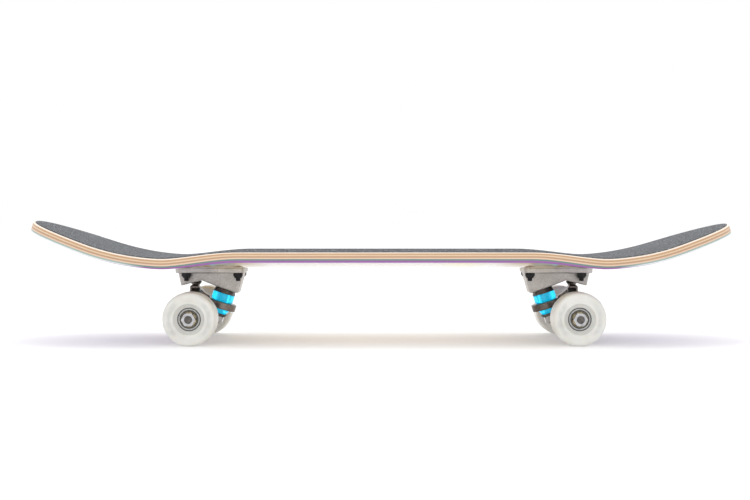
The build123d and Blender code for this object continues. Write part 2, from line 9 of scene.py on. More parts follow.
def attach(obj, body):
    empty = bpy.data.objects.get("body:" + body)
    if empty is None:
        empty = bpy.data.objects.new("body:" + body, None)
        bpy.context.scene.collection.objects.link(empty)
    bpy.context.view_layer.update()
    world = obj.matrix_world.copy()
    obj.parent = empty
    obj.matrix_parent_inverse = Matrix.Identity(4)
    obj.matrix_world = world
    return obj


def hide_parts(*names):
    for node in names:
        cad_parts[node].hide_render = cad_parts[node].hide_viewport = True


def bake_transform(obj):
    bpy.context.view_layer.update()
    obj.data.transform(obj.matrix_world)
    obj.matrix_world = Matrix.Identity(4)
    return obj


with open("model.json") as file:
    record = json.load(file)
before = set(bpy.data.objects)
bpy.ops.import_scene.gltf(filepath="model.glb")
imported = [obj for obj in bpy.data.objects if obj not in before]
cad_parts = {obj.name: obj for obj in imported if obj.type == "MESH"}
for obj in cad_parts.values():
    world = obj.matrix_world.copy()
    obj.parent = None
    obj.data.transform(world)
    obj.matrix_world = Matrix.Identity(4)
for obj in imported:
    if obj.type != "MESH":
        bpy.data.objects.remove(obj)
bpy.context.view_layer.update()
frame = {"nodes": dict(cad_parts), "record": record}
NODES = frame["nodes"]
MM = 0.001

# ---- Sizes, in millimetres, as the CAD part has them --------------------------------------
DECK_LENGTH = 736.8
DECK_WIDTH = 190.5
END_LENGTH = 114.0
NOSE_POWER = 2.2
TAIL_POWER = 2.0
DECK_THICK = 10.4
GRIP_THICK = 0.9
GRIP_LIFT = 0.03             # keeps the sheet just clear of the wood
DECK_FLOOR = 76.75
TRUCK_SHIFT = 2.5
FLAT_HALF = 210.5
KICK_RADIUS = 285.0
NOSE_ANGLE = math.radians(19.1)
TAIL_ANGLE = math.radians(18.1)
CONCAVE_RISE = 7.8
CONCAVE_FULL = 147.0
CONCAVE_FADE = 229.0
TRUCK_HALF = 179.4
HOLE_LONG = 53.98
HOLE_WIDE = 41.28
SCREW_D = 4.8
SCREW_TOP = 88.03
SCREW_LENGTH = 25.4
HEAD_D = 9.4
HEAD_DEEP = 2.9
SCREW_HOLE_R = 2.75
PLATE_TOP = 76.8
PLATE_THICK = 5.6
SEAT = Vector((-11.9, 0, -22.9))
KINGPIN_LEAN = math.radians(18.0)
KINGPIN_DIR = Vector((math.sin(KINGPIN_LEAN), 0, -math.cos(KINGPIN_LEAN)))
AXLE = Vector((15.6, 0, -49.8))
WHEEL_Y = 76.4
WHEEL_R = 27.0
WHEEL_WIDE = 32.0
PLIES = 7

TRUCKS = {"front": -1, "rear": 1}
SIDES = {"left": -1, "right": 1}


# ---- Mesh helpers -------------------------------------------------------------------------
def add_object(name, mesh):
    """Links a mesh as a new object at the origin."""
    piece = bpy.data.objects.new(name, mesh)
    bpy.context.scene.collection.objects.link(piece)
    return piece


def shade(mesh, angle=35):
    """Smooth shading, with creases where faces meet at more than the angle."""
    limit = math.radians(angle)
    work = bmesh.new()
    work.from_mesh(mesh)
    for face in work.faces:
        face.smooth = True
    for edge in work.edges:
        edge.smooth = len(edge.link_faces) == 2 and edge.calc_face_angle(0) < limit
    work.to_mesh(mesh)
    work.free()


def mesh_from(name, verts, faces, angle=35, layer=None):
    """A mesh from vertices in millimetres; layer is an optional (name, numbers) per vertex."""
    mesh = bpy.data.meshes.new(name)
    mesh.from_pydata([Vector(v) * MM for v in verts], [], faces)
    if layer:
        values = mesh.attributes.new(layer[0], "FLOAT", "POINT")
        values.data.foreach_set("value", layer[1])
    work = bmesh.new()
    work.from_mesh(mesh)
    bmesh.ops.remove_doubles(work, verts=work.verts, dist=1e-7)
    bmesh.ops.dissolve_degenerate(work, edges=work.edges, dist=1e-7)
    bmesh.ops.recalc_face_normals(work, faces=work.faces)
    work.to_mesh(mesh)
    work.free()
    shade(mesh, angle)
    return mesh


def lathe(profile, place, segments=96):
    """Verts and faces of a closed (radius, height) profile turned about a matrix's Z axis."""
    verts = []
    faces = []
    count = len(profile)
    for i in range(segments):
        turn = 2 * math.pi * i / segments
        for radius, height in profile:
            verts.append(place @ Vector((radius * math.cos(turn), radius * math.sin(turn), height)))
    for i in range(segments):
        after = (i + 1) % segments
        for j in range(count):
            k = (j + 1) % count
            faces.append((i * count + j, after * count + j, after * count + k, i * count + k))
    return verts, faces


def prism(outline, low, high, place):
    """Verts and faces of a straight prism over a closed (x, y) outline."""
    count = len(outline)
    verts = [place @ Vector((x, y, low)) for x, y in outline]
    verts += [place @ Vector((x, y, high)) for x, y in outline]
    faces = [tuple(range(count))[::-1], tuple(range(count, 2 * count))]
    for i in range(count):
        j = (i + 1) % count
        faces.append((i, j, count + j, count + i))
    return verts, faces


def joined(parts):
    """Several (verts, faces) pairs as one."""
    verts = []
    faces = []
    for part_verts, part_faces in parts:
        shift = len(verts)
        verts += part_verts
        faces += [tuple(index + shift for index in face) for face in part_faces]
    return verts, faces


def frame_at(origin, direction):
    """A matrix at the origin whose Z axis runs along the direction."""
    turn = Vector(direction).to_track_quat("Z", "X").to_matrix().to_4x4()
    return Matrix.Translation(Vector(origin)) @ turn


def truck_place(sign):
    """The matrix from truck coordinates to the board."""
    turn = Matrix.Rotation(0 if sign > 0 else math.pi, 4, "Z")
    return Matrix.Translation(Vector((TRUCK_SHIFT + sign * TRUCK_HALF, 0, PLATE_TOP))) @ turn


def finished(piece, body, material, replaced=()):
    """Gives a piece its body and material, and hides what it stands for."""
    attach(piece, body)
    piece.data.materials.clear()
    piece.data.materials.append(material)
    if replaced:
        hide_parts(*replaced)
    return piece


def baked(piece, name, angle=35):
    """A copy of a piece with its modifiers applied; the original goes."""
    graph = bpy.context.evaluated_depsgraph_get()
    mesh = bpy.data.meshes.new_from_object(piece.evaluated_get(graph))
    mesh.name = name
    bpy.data.objects.remove(piece)
    shade(mesh, angle)
    return add_object(name, mesh)


# ---- Deck shape ---------------------------------------------------------------------------
def kick_height(past, angle):
    """Height of the upturned end at this distance past the flat."""
    past = max(past, 0)
    arc = KICK_RADIUS * math.sin(angle)
    if past <= arc:
        return KICK_RADIUS - math.sqrt(KICK_RADIUS ** 2 - past ** 2)
    return KICK_RADIUS * (1 - math.cos(angle)) + (past - arc) * math.tan(angle)


def deck_height(x, y):
    """Height of the deck's underside."""
    distance = abs(x - TRUCK_SHIFT)
    angle = NOSE_ANGLE if x < TRUCK_SHIFT else TAIL_ANGLE
    share = min(max((CONCAVE_FADE - distance) / (CONCAVE_FADE - CONCAVE_FULL), 0), 1)
    edge = CONCAVE_RISE * share * share * (3 - 2 * share) * (abs(y) / (DECK_WIDTH / 2)) ** 4
    return DECK_FLOOR + kick_height(distance - FLAT_HALF, angle) + edge


def deck_point(x, y, offset):
    """A point this far above the underside, measured square to it."""
    step = 0.5
    slope_x = (deck_height(x + step, y) - deck_height(x - step, y)) / (2 * step)
    slope_y = (deck_height(x, y + step) - deck_height(x, y - step)) / (2 * step)
    normal = Vector((-slope_x, -slope_y, 1)).normalized()
    return Vector((x, y, deck_height(x, y))) + normal * offset


def end_rays(way, power, steps=72):
    """Points and outward directions round one end of the deck's outline."""
    half = DECK_WIDTH / 2
    for i in range(steps):
        turn = math.pi * i / steps - math.pi / 2
        along = max(math.cos(turn), 0) ** (2 / power)
        across = abs(math.sin(turn)) ** (2 / power)
        sign = 1 if turn > 0 else -1
        x = DECK_LENGTH / 2 - END_LENGTH * (1 - along)
        out = Vector((along ** (power - 1) / END_LENGTH, sign * across ** (power - 1) / half))
        out.normalize()
        yield way * x, way * sign * half * across, way * out.x, way * out.y


def outline_rays(steps=120):
    """Points and outward directions all round the deck's outline."""
    spine = DECK_LENGTH / 2 - END_LENGTH
    for way, power in ((1, TAIL_POWER), (-1, NOSE_POWER)):
        for i in range(steps):
            yield way * spine * (2 * i / steps - 1), -way * DECK_WIDTH / 2, 0, -way
        yield from end_rays(way, power)


def inset_point(ray, inset):
    """The point this far inside the outline; deep insets run to the middle line."""
    x, y, out_x, out_y = ray
    band = 8.0
    near = Vector((x - out_x * min(inset, band), y - out_y * min(inset, band)))
    if inset <= band:
        return near
    spine = DECK_LENGTH / 2 - END_LENGTH
    middle = Vector((min(max(x, -spine), spine), 0))
    return near.lerp(middle, (inset - band) / (DECK_WIDTH / 2 - band))


def deck_shell(name, profile):
    """A closed shell over the deck's outline from (inset from the edge, height) pairs.

    The profile starts on the middle line below and ends on the middle line above. Each
    vertex keeps its height above the deck's underside in the layer called ply."""
    rays = list(outline_rays())
    verts = []
    heights = []
    for ray in rays:
        for inset, height in profile:
            spot = inset_point(ray, inset)
            verts.append(deck_point(spot.x, spot.y, height))
            heights.append(height)
    count = len(profile)
    faces = []
    for i in range(len(rays)):
        after = (i + 1) % len(rays)
        for j in range(count - 1):
            faces.append((i * count + j, after * count + j, after * count + j + 1, i * count + j + 1))
    return mesh_from(name, verts, faces, 50, ("ply", heights))


FACE_INSETS = [3.2, 5.5, 8.0] + [8.0 + (DECK_WIDTH / 2 - 8.0) * i / 14 for i in range(1, 15)]


def face_below(height):
    """Profile points on a lower face, from the middle line out to the edge."""
    return [(inset, height) for inset in reversed(FACE_INSETS)]


def face_above(height):
    """Profile points on an upper face, from the edge in to the middle line."""
    return [(inset, height) for inset in FACE_INSETS]


def rounded_edge(radius_low, radius_high, low, high, steps=6):
    """Profile points of the deck's edge, rounded below and above."""
    points = []
    for i in range(steps + 1):
        turn = math.pi / 2 * i / steps
        points.append((radius_low * (1 - math.sin(turn)), low + radius_low * (1 - math.cos(turn))))
    for i in range(steps + 1):
        turn = math.pi / 2 * i / steps
        points.append((radius_high * (1 - math.cos(turn)), high - radius_high * (1 - math.sin(turn))))
    return points


# ---- Material helpers ---------------------------------------------------------------------
class Shader:
    """A Principled material and short ways to add nodes to it."""

    def __init__(self, name, color=(0.8, 0.8, 0.8), rough=0.5, metal=0.0, **sockets):
        self.mat = bpy.data.materials.new(name)
        self.mat.use_nodes = True
        self.tree = self.mat.node_tree
        self.bsdf = self.tree.nodes["Principled BSDF"]
        self.set("Base Color", (*color, 1))
        self.set("Roughness", rough)
        self.set("Metallic", metal)
        for socket, value in sockets.items():
            self.set(socket.replace("_", " "), value)

    def set(self, socket, value):
        """Sets one of the shader's own sockets."""
        self.bsdf.inputs[socket].default_value = value

    def node(self, kind, links=None, **settings):
        """Adds a node; links maps its inputs to sockets or values."""
        made = self.tree.nodes.new(kind)
        for key, value in settings.items():
            setattr(made, key, value)
        for key, value in (links or {}).items():
            if isinstance(value, bpy.types.NodeSocket):
                self.tree.links.new(value, made.inputs[key])
            else:
                made.inputs[key].default_value = value
        return made

    def place(self, scale=(1, 1, 1), offset=(0, 0, 0)):
        """Object coordinates in millimetres, stretched by the scale."""
        coords = self.node("ShaderNodeTexCoord").outputs["Object"]
        size = tuple(value * 1000 for value in scale)
        mapping = self.node("ShaderNodeMapping", {"Vector": coords, "Scale": size, "Location": offset})
        return mapping.outputs["Vector"]

    def noise(self, scale, vector=None, detail=4.0, rough=0.55, distortion=0.0):
        """Noise from 0 to 1, at this many features per millimetre."""
        vector = vector or self.place()
        links = {"Vector": vector, "Scale": scale, "Detail": detail}
        links.update({"Roughness": rough, "Distortion": distortion})
        return self.node("ShaderNodeTexNoise", links).outputs["Fac"]

    def spots(self, scale, vector=None):
        """Voronoi distance from 0 to 1, at this many cells per millimetre."""
        vector = vector or self.place()
        return self.node("ShaderNodeTexVoronoi", {"Vector": vector, "Scale": scale}).outputs["Distance"]

    def ramp(self, value, stops, interpolation="LINEAR"):
        """A colour ramp over (position, colour) stops."""
        made = self.node("ShaderNodeValToRGB", {"Fac": value})
        ramp = made.color_ramp
        ramp.interpolation = interpolation
        while len(ramp.elements) < len(stops):
            ramp.elements.new(1.0)
        for element, (position, color) in zip(ramp.elements, stops):
            element.position = position
            element.color = (*color, 1)
        return made.outputs["Color"]

    def level(self, value, low, high, to_low=0.0, to_high=1.0):
        """Maps a value's range onto another, clamped."""
        links = {"Value": value, "From Min": low, "From Max": high, "To Min": to_low, "To Max": to_high}
        return self.node("ShaderNodeMapRange", links).outputs["Result"]

    def math(self, operation, first, second=0.0):
        """One arithmetic step."""
        return self.node("ShaderNodeMath", {0: first, 1: second}, operation=operation).outputs[0]

    def mix(self, factor, first, second, blend="MIX"):
        """Mixes two colours."""
        made = self.node("ShaderNodeMix", data_type="RGBA", blend_type=blend)
        for index, value in ((0, factor), (6, first), (7, second)):
            if isinstance(value, bpy.types.NodeSocket):
                self.tree.links.new(value, made.inputs[index])
            elif index == 0:
                made.inputs[index].default_value = value
            else:
                made.inputs[index].default_value = (*value, 1)
        return made.outputs[2]

    def gray(self, value):
        """A number as a colour."""
        return self.node("ShaderNodeCombineColor", {0: value, 1: value, 2: value}).outputs["Color"]

    def attribute(self, name):
        """A number stored on the mesh."""
        return self.node("ShaderNodeAttribute", attribute_name=name).outputs["Fac"]

    def bump(self, height, strength, distance_mm):
        """Adds a bump to the surface, on top of any bump already there."""
        links = {"Height": height, "Strength": strength, "Distance": distance_mm * MM}
        made = self.node("ShaderNodeBump", links)
        known = self.bsdf.inputs["Normal"].links
        if known:
            self.tree.links.new(known[0].from_socket, made.inputs["Normal"])
        self.wire(made.outputs["Normal"], "Normal")

    def wire(self, output, socket):
        """Connects a socket to one of the shader's inputs."""
        self.tree.links.new(output, self.bsdf.inputs[socket])


# ---- Materials ----------------------------------------------------------------------------
PLY_COLORS = [
    (0.34, 0.13, 0.40),
    (0.14, 0.27, 0.26),
    (0.80, 0.60, 0.45),
    (0.54, 0.33, 0.21),
    (0.78, 0.61, 0.42),
    (0.60, 0.36, 0.20),
    (0.93, 0.82, 0.70),
]
GLUE_COLOR = (0.42, 0.25, 0.15)
END_PLY_COLOR = (0.36, 0.47, 0.44)
END_VENEER_COLOR = (0.84, 0.87, 0.85)
END_PLY_FROM = 235           # from here outwards the lowest plies are pale
RIM_COLOR = (0.36, 0.16, 0.52)
RAIL_FROM = 60               # the print's pale rails start this far from the middle
RAIL_STOPS = [
    (0.00, (0.55, 0.50, 0.66)),
    (0.15, (0.50, 0.42, 0.60)),
    (0.20, (0.46, 0.34, 0.22)),
    (0.31, (0.56, 0.45, 0.30)),
    (0.35, (0.95, 0.94, 0.93)),
    (0.57, (0.95, 0.94, 0.93)),
    (0.61, (0.95, 0.92, 0.66)),
    (0.65, (0.94, 0.93, 0.91)),
    (0.69, (0.56, 0.45, 0.30)),
    (0.80, (0.46, 0.34, 0.22)),
    (0.85, (0.50, 0.42, 0.60)),
    (1.00, (0.55, 0.50, 0.66)),
]


def ply_stops():
    """Colour stops of the plies and the thin glue lines between them."""
    glue = 0.006
    stops = [(0, PLY_COLORS[0])]
    for i, color in enumerate(PLY_COLORS[1:], 1):
        stops.append((i / PLIES - glue, GLUE_COLOR))
        stops.append((i / PLIES + glue, color))
    return stops


def printed_blocks(made):
    """The underside's plain print: slanted colour blocks between pale rails, purple at the ends."""
    split = made.node("ShaderNodeSeparateXYZ", {0: made.place()})
    x = split.outputs["X"]
    slant = made.math("MULTIPLY", split.outputs["Y"], 0.45)
    wave = made.math("MULTIPLY", made.noise(0.006, detail=0), 60.0)
    along = made.math("ADD", made.math("ADD", x, slant), wave)
    stops = [
        (0.00, (0.23, 0.13, 0.42)),
        (0.15, (0.10, 0.12, 0.30)),
        (0.19, (0.42, 0.26, 0.56)),
        (0.26, (0.85, 0.60, 0.16)),
        (0.33, (0.45, 0.25, 0.12)),
        (0.41, (0.78, 0.66, 0.48)),
        (0.47, (0.86, 0.71, 0.20)),
        (0.50, (0.62, 0.42, 0.26)),
        (0.58, (0.80, 0.67, 0.50)),
        (0.66, (0.40, 0.22, 0.12)),
        (0.72, (0.86, 0.62, 0.20)),
        (0.77, (0.42, 0.26, 0.56)),
        (0.84, (0.12, 0.28, 0.32)),
        (0.89, (0.25, 0.13, 0.42)),
    ]
    place = made.level(along, -DECK_LENGTH / 2, DECK_LENGTH / 2)
    blocks = made.ramp(place, stops, "CONSTANT")
    rails = made.ramp(made.level(x, -DECK_LENGTH / 2, DECK_LENGTH / 2), RAIL_STOPS)
    across = made.math("ABSOLUTE", split.outputs["Y"])
    color = made.mix(made.level(across, RAIL_FROM, RAIL_FROM + 6), blocks, rails)
    rim = made.level(across, DECK_WIDTH / 2 - 3.5, DECK_WIDTH / 2 - 2.5)
    return made.mix(rim, color, RIM_COLOR)


def deck_wood():
    """Seven stained maple plies seen on the edge, and a lacquered print underneath."""
    made = Shader("deck_wood", rough=0.4)
    ply = made.math("DIVIDE", made.attribute("ply"), DECK_THICK)
    grain = made.noise(1.0, made.place((0.02, 0.25, 1.6)), detail=6)
    fine = made.noise(1.0, made.place((0.12, 1.5, 5.0)), detail=3)
    edge = made.ramp(made.math("ADD", ply, made.level(grain, 0, 1, -0.012, 0.012)), ply_stops(), "CONSTANT")
    edge = made.mix(made.level(grain, 0.4, 0.75, 0, 0.25), edge, (0.70, 0.50, 0.36), "MULTIPLY")
    edge = made.mix(made.level(fine, 0.45, 0.8, 0, 0.3), edge, (0.72, 0.56, 0.42), "MULTIPLY")
    streaks = made.noise(1.0, made.place((0.006, 0.22, 0.22)), detail=7)
    worn = made.level(streaks, 0.4, 0.8, 0, 0.3)
    print_color = made.mix(worn, printed_blocks(made), (0.6, 0.5, 0.4), "MULTIPLY")
    x = made.node("ShaderNodeSeparateXYZ", {0: made.place()}).outputs["X"]
    ends = made.level(made.math("ABSOLUTE", x), END_PLY_FROM, END_PLY_FROM + 25)
    lowest = made.level(ply, 0.13, 0.15, 1, 0)
    low_plies = made.level(ply, 0.27, 0.29, 1, 0)
    edge = made.mix(made.math("MULTIPLY", ends, low_plies), edge, END_PLY_COLOR)
    edge = made.mix(made.math("MULTIPLY", ends, lowest), edge, END_VENEER_COLOR)
    under = made.level(ply, 0.03, 0.06, 1, 0)
    made.wire(made.mix(under, edge, print_color), "Base Color")
    matte = made.level(fine, 0.2, 0.8, 0.32, 0.52)
    made.wire(made.mix(under, made.gray(matte), (0.045, 0.045, 0.045)), "Roughness")
    relief = made.math("MULTIPLY", grain, made.math("SUBTRACT", 1.0, under))
    made.bump(relief, 0.25, 0.12)
    return made.mat


def grip_grit():
    """Coarse dark sandpaper with fine glints."""
    made = Shader("grip_grit", rough=0.6, Specular_IOR_Level=0.6)
    grit = made.spots(2.2)
    coarse = made.noise(0.9, detail=8, rough=0.8)
    worn = made.noise(0.012, detail=5)
    base = made.ramp(made.math("ADD", grit, made.math("MULTIPLY", coarse, 0.5)), [
        (0.25, (0.16, 0.18, 0.21)),
        (0.55, (0.060, 0.068, 0.080)),
        (0.90, (0.022, 0.025, 0.030)),
    ])
    color = made.mix(made.level(worn, 0.45, 0.7, 0, 0.35), base, (0.11, 0.12, 0.14))
    glints = made.level(made.noise(0.75, detail=3), 0.54, 0.66, 0, 0.7)
    made.wire(made.mix(glints, color, (0.46, 0.49, 0.54)), "Base Color")
    made.wire(made.level(grit, 0.1, 0.6, 0.35, 0.8), "Roughness")
    made.bump(grit, 0.9, 0.35)
    made.bump(coarse, 0.6, 0.2)
    return made.mat


def cast_metal():
    """Tumbled raw casting with a fine grain."""
    made = Shader("cast_metal", color=(0.60, 0.57, 0.54), rough=0.42, metal=1.0)
    patches = made.noise(0.08, detail=5)
    grain = made.noise(2.5, detail=6, rough=0.7)
    color = made.mix(made.level(patches, 0.35, 0.7), (0.66, 0.63, 0.60), (0.50, 0.475, 0.45))
    color = made.mix(made.level(grain, 0.45, 0.7, 0, 0.75), color, (0.34, 0.32, 0.30))
    pits = made.noise(0.7, detail=3)
    color = made.mix(made.level(pits, 0.5, 0.68, 0, 0.55), color, (0.30, 0.28, 0.26))
    made.wire(color, "Base Color")
    made.wire(made.level(grain, 0.3, 0.7, 0.34, 0.56), "Roughness")
    made.bump(grain, 0.35, 0.12)
    return made.mat


def hanger_metal():
    """Smoother, part-polished casting, its colour painted dark brownish as painted shade and painted
    reflection of dark surroundings.
    """
    made = Shader("hanger_metal", rough=0.25, metal=1.0)
    patches = made.noise(0.05, detail=4)
    grain = made.noise(3.0, made.place((1, 0.3, 1)), detail=5)
    # Dark brownish colours: painted shade and painted reflection of dark surroundings, varied in random
    # patches.
    color = made.mix(made.level(patches, 0.35, 0.7), (0.23, 0.20, 0.18), (0.13, 0.11, 0.10))
    made.wire(color, "Base Color")
    made.wire(made.level(grain, 0.3, 0.7, 0.2, 0.38), "Roughness")
    made.bump(grain, 0.15, 0.05)
    return made.mat


def steel(name, light, dark, rough, turned=(1, 0.15, 1)):
    """Machined steel with turning marks and slight staining."""
    made = Shader(name, rough=rough, metal=1.0)
    marks = made.noise(4.0, made.place(turned), detail=4)
    stain = made.noise(0.25, detail=5)
    made.wire(made.mix(made.level(stain, 0.4, 0.7), light, dark), "Base Color")
    made.wire(made.level(marks, 0.3, 0.7, rough * 0.8, rough * 1.35), "Roughness")
    made.bump(marks, 0.12, 0.03)
    return made.mat


def black_steel():
    """Black oxide on steel."""
    made = Shader("black_steel", rough=0.45, metal=0.6)
    wear = made.noise(0.8, detail=6, rough=0.7)
    made.wire(made.ramp(wear, [(0.3, (0.008, 0.008, 0.009)), (0.75, (0.035, 0.035, 0.038))]), "Base Color")
    made.wire(made.level(wear, 0.3, 0.7, 0.32, 0.6), "Roughness")
    made.bump(wear, 0.2, 0.04)
    return made.mat


def moulded(name, light, dark, rough, **sockets):
    """Moulded plastic with a faint texture."""
    made = Shader(name, rough=rough, **sockets)
    cloud = made.noise(0.15, detail=4)
    fine = made.noise(4.0, detail=4)
    made.wire(made.mix(made.level(cloud, 0.3, 0.7), light, dark), "Base Color")
    made.wire(made.level(fine, 0.3, 0.7, rough * 0.85, rough * 1.2), "Roughness")
    made.bump(fine, 0.1, 0.03)
    return made.mat


def wheel_urethane():
    """Off-white cast urethane, slightly see-through, with faint rolling marks."""
    made = Shader(
        "wheel_urethane", rough=0.38, Subsurface_Weight=0.35, Subsurface_Scale=0.004,
        Coat_Weight=0.15, Coat_Roughness=0.25,
    )
    made.set("Subsurface Radius", (1.0, 0.8, 0.6))
    cloud = made.noise(0.06, detail=4)
    fine = made.noise(1.6, detail=6)
    made.wire(made.mix(made.level(cloud, 0.35, 0.7), (0.78, 0.775, 0.735), (0.70, 0.69, 0.64)), "Base Color")
    made.wire(made.level(fine, 0.3, 0.75, 0.3, 0.5), "Roughness")
    made.bump(fine, 0.12, 0.05)
    return made.mat


def clear_urethane():
    """Clear cyan urethane, with a faint glow for the light that it gathers."""
    made = Shader(
        "clear_urethane", color=(0.03, 0.62, 0.80), rough=0.12, Transmission_Weight=0.85, IOR=1.45,
    )
    made.set("Emission Color", (0.02, 0.60, 0.85, 1))
    made.set("Emission Strength", 0.3)
    cloud = made.noise(0.4, detail=3)
    made.wire(made.mix(made.level(cloud, 0.3, 0.7), (0.02, 0.62, 0.88), (0.06, 0.74, 0.95)), "Base Color")
    made.bump(cloud, 0.15, 0.1)
    return made.mat


MATERIALS = {
    "deck_wood": deck_wood(),
    "grip_grit": grip_grit(),
    "cast_metal": cast_metal(),
    "hanger_metal": hanger_metal(),
    "bright_steel": steel("bright_steel", (0.52, 0.52, 0.53), (0.32, 0.32, 0.34), 0.14),
    "dark_steel": steel("dark_steel", (0.16, 0.15, 0.14), (0.08, 0.075, 0.07), 0.35),
    "black_steel": black_steel(),
    "bearing_steel": steel("bearing_steel", (0.36, 0.36, 0.35), (0.25, 0.25, 0.25), 0.22),
    "shield_metal": steel("shield_metal", (0.58, 0.50, 0.32), (0.40, 0.33, 0.20), 0.25),
    "rubber": moulded("rubber", (0.015, 0.015, 0.015), (0.03, 0.03, 0.03), 0.6),
    "cage_plastic": moulded("cage_plastic", (0.70, 0.66, 0.55), (0.60, 0.56, 0.46), 0.5),
    "cup_plastic": moulded("cup_plastic", (0.02, 0.02, 0.02), (0.035, 0.035, 0.035), 0.55),
    "clear_urethane": clear_urethane(),
    "wheel_urethane": wheel_urethane(),
}


# ---- Board --------------------------------------------------------------------------------
def drilled(shell, name, radius, sink):
    """A deck layer with a countersunk hole for each screw."""
    cutters = []
    for place in screw_places():
        top = SCREW_TOP + 1
        profile = [(0, DECK_FLOOR - 4), (radius, DECK_FLOOR - 4), (radius, SCREW_TOP - sink)]
        profile += [(HEAD_D / 2 + 0.35, SCREW_TOP - 0.2), (HEAD_D / 2 + 0.35, top), (0, top)]
        cutters.append(lathe(profile, Matrix.Translation(place), 40))
    cutter = add_object("cutter", mesh_from("cutter", *joined(cutters)))
    cut = shell.modifiers.new("holes", "BOOLEAN")
    cut.object = cutter
    cut.solver = "EXACT"
    drilled_shell = baked(shell, name, 50)
    bpy.data.objects.remove(cutter)
    return drilled_shell


def make_deck():
    """The wooden deck; its upper face lies a little low, under the grip sheet."""
    profile = face_below(0) + rounded_edge(3.0, 2.2, 0, DECK_THICK)
    profile += [(inset, DECK_THICK - (0.15 if inset > 4 else 0)) for inset in FACE_INSETS]
    shell = add_object("deck_shell", deck_shell("deck_shell", profile))
    deck = drilled(shell, "deck_board", SCREW_HOLE_R, HEAD_DEEP)
    finished(deck, "deck", MATERIALS["deck_wood"], ["deck"])


def make_grip():
    """The grip sheet, cut flush a little inside the deck's rounded edge."""
    low = DECK_THICK + GRIP_LIFT
    high = low + GRIP_THICK
    profile = face_below(low)
    profile += [(2.0, low - 0.12), (1.75, low + 0.1), (1.8, high - 0.35), (2.2, high - 0.06)]
    profile += face_above(high)
    shell = add_object("grip_shell", deck_shell("grip_shell", profile))
    grip = drilled(shell, "grip_sheet", HEAD_D / 2 + 0.1, 1.2)
    finished(grip, "deck", MATERIALS["grip_grit"], ["grip_tape"])


def screw_places():
    """The eight screw positions on the board, at floor level."""
    for sign in TRUCKS.values():
        for x in (-1, 1):
            for y in (-1, 1):
                yield Vector((TRUCK_SHIFT + sign * TRUCK_HALF + x * HOLE_LONG / 2, y * HOLE_WIDE / 2, 0))


# ---- Trucks -------------------------------------------------------------------------------
def stack_frame(sign):
    """The matrix at the kingpin's seat, with Z running down the kingpin."""
    return truck_place(sign) @ frame_at(SEAT, KINGPIN_DIR)


def helix(radius, ridge, start, end, pitch, place, segments=20):
    """One thread ridge: a triangular section wound round the matrix's Z axis."""
    verts = []
    faces = []
    steps = int((end - start) / pitch * segments)
    for i in range(steps + 1):
        turn = 2 * math.pi * i / segments
        height = start + pitch * i / segments
        fade = min(1, i / 6, (steps - i) / 6)
        for out, lift in ((-0.15, -0.35), (ridge * fade, 0), (-0.15, 0.35)):
            reach = radius + out
            spot = Vector((reach * math.cos(turn), reach * math.sin(turn), height + lift * pitch))
            verts.append(place @ spot)
    for i in range(steps):
        for j in range(3):
            k = (j + 1) % 3
            faces.append((3 * i + j, 3 * i + 3 + j, 3 * i + 3 + k, 3 * i + k))
    faces.append((0, 1, 2))
    last = 3 * steps
    faces.append((last + 2, last + 1, last))
    return verts, faces


def make_screw_threads():
    """The threads on the screw tips that stick out of the lock nuts."""
    tip = SCREW_TOP - SCREW_LENGTH
    threads = []
    for place in screw_places():
        threads.append(helix(SCREW_D / 2, 0.16, tip + 0.3, tip + 3.0, 0.8, Matrix.Translation(place)))
    piece = add_object("screw_threads", mesh_from("screw_threads", *joined(threads)))
    finished(piece, "deck", MATERIALS["black_steel"])


def cast_copy(node, name, voxel, body, slot):
    """A remeshed copy of a CAD casting, whose edges and inner corners are softened."""
    source = NODES[node]
    piece = add_object(name + "_raw", source.data.copy())
    remesh = piece.modifiers.new("remesh", "REMESH")
    remesh.mode = "VOXEL"
    remesh.voxel_size = voxel * MM
    soften = piece.modifiers.new("soften", "SMOOTH")
    soften.factor = 0.5
    soften.iterations = 6
    piece = baked(piece, name, 60)
    return finished(piece, body, MATERIALS[slot], [node])


def make_castings():
    """Both baseplates and both hangers."""
    for truck in TRUCKS:
        cast_copy(truck + "_baseplate", truck + "_plate_casting", 0.55, "deck", "cast_metal")
        cast_copy(truck + "_hanger", truck + "_hanger_casting", 0.6, truck + "_hanger", "hanger_metal")


RIB_COUNT = 11
RIB_FROM = -14.5
RIB_STEP = 2.6
RIB_HEIGHT = -PLATE_THICK - 1.6
RIB_OUT = 0.25               # how far the ribs stand off the body's side
BODY_HALF = 13.0             # half the width of the baseplate's body


def make_plate_marks():
    """A row of small cast ribs along both sides of each baseplate's body."""
    for truck, sign in TRUCKS.items():
        ribs = []
        for side in SIDES.values():
            for i in range(RIB_COUNT):
                outline = [(0, 0), (1.3, 0), (1.3, 0.9), (0, 0.9)]
                turn = Matrix.Rotation(math.pi / 2, 4, "X")
                start = Vector((RIB_FROM + RIB_STEP * i, side * BODY_HALF + RIB_OUT, RIB_HEIGHT))
                spot = Matrix.Translation(start)
                ribs.append(prism(outline, 0, 0.5, truck_place(sign) @ spot @ turn))
        piece = add_object(truck + "_plate_ribs", mesh_from(truck + "_plate_ribs", *joined(ribs)))
        finished(piece, "deck", MATERIALS["cast_metal"])


BUSHINGS = {
    "top_bushing": [
        (4.9, 1.55), (9.2, 1.55), (9.9, 2.2), (10.4, 3.6), (10.9, 4.6), (11.6, 5.5), (11.75, 7.2),
        (11.8, 9.6), (11.75, 11.6), (11.4, 12.8), (10.7, 13.5), (10.2, 13.7), (4.9, 13.7),
    ],
    "bottom_bushing": [
        (4.9, 21.3), (9.3, 21.3), (10.1, 21.7), (10.45, 22.4), (10.2, 23.4), (8.9, 25.4),
        (7.9, 26.5), (7.35, 27.6), (7.2, 27.95), (4.9, 27.95),
    ],
}


